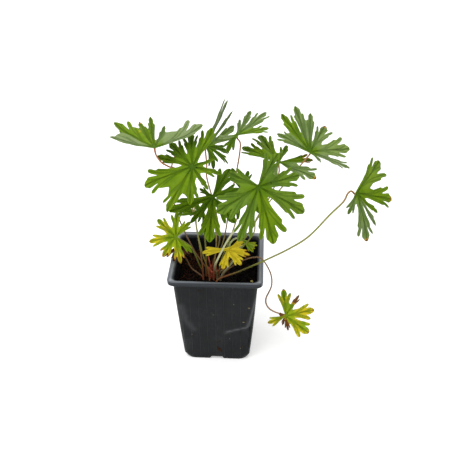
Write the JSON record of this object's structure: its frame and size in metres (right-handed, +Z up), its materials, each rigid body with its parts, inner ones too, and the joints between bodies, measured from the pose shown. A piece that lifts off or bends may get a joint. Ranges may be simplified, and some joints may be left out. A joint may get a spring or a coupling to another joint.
{
  "type": "potted hardy geranium",
  "caption": "Hardy geranium with deeply cut palmate leaves on thin stalks, growing in a square black plastic nursery pot of dark soil",
  "frame": {"origin": "Middle of the pot's flat base, on the floor.", "axes": "+Z is up, out of the pot's mouth. -Y is the front of the pot in the picture and +X is the viewer's right."},
  "size_m": [0.2453, 0.1537, 0.2512],
  "materials": {
    "pot_plastic": "satin",
    "soil": "matte",
    "crown": "matte",
    "feed_bead": "satin",
    "leaf_green": "satin",
    "leaf_deep_green": "satin",
    "leaf_yellow_green": "satin",
    "leaf_yellow": "satin",
    "leaf_russet": "matte",
    "stem_red": "satin",
    "stem_olive": "satin",
    "stem_pale": "satin",
    "stem_brown": "satin"
  },
  "bodies": {
    "root": {"pot": "pot_plastic", "soil": "soil", "crown": "crown", "feed_bead": "feed_bead", "stem_01": "stem_red", "stem_02": "stem_olive", "stem_03": "stem_red", "stem_04": "stem_red", "stem_05": "stem_olive", "stem_06": "stem_olive", "stem_07": "stem_pale", "stem_08": "stem_red", "stem_09": "stem_olive", "stem_10": "stem_brown", "stem_11": "stem_pale", "stem_12": "stem_pale", "stem_13": "stem_brown", "stem_14": "stem_olive", "stem_15": "stem_olive", "stem_16": "stem_olive", "stem_17": "stem_brown", "blade_01": "leaf_green", "blade_02": "leaf_green", "blade_03": "leaf_deep_green", "blade_04": "leaf_green", "blade_05": "leaf_green", "blade_06": "leaf_green", "blade_07": "leaf_green", "blade_08": "leaf_deep_green", "blade_09": "leaf_yellow_green", "blade_10": "leaf_russet", "blade_11": "leaf_yellow", "blade_12": "leaf_yellow_green", "blade_13": "leaf_yellow_green", "blade_14": "leaf_green", "blade_15": "leaf_deep_green", "blade_16": "leaf_deep_green"}
  },
  "joints": []
}
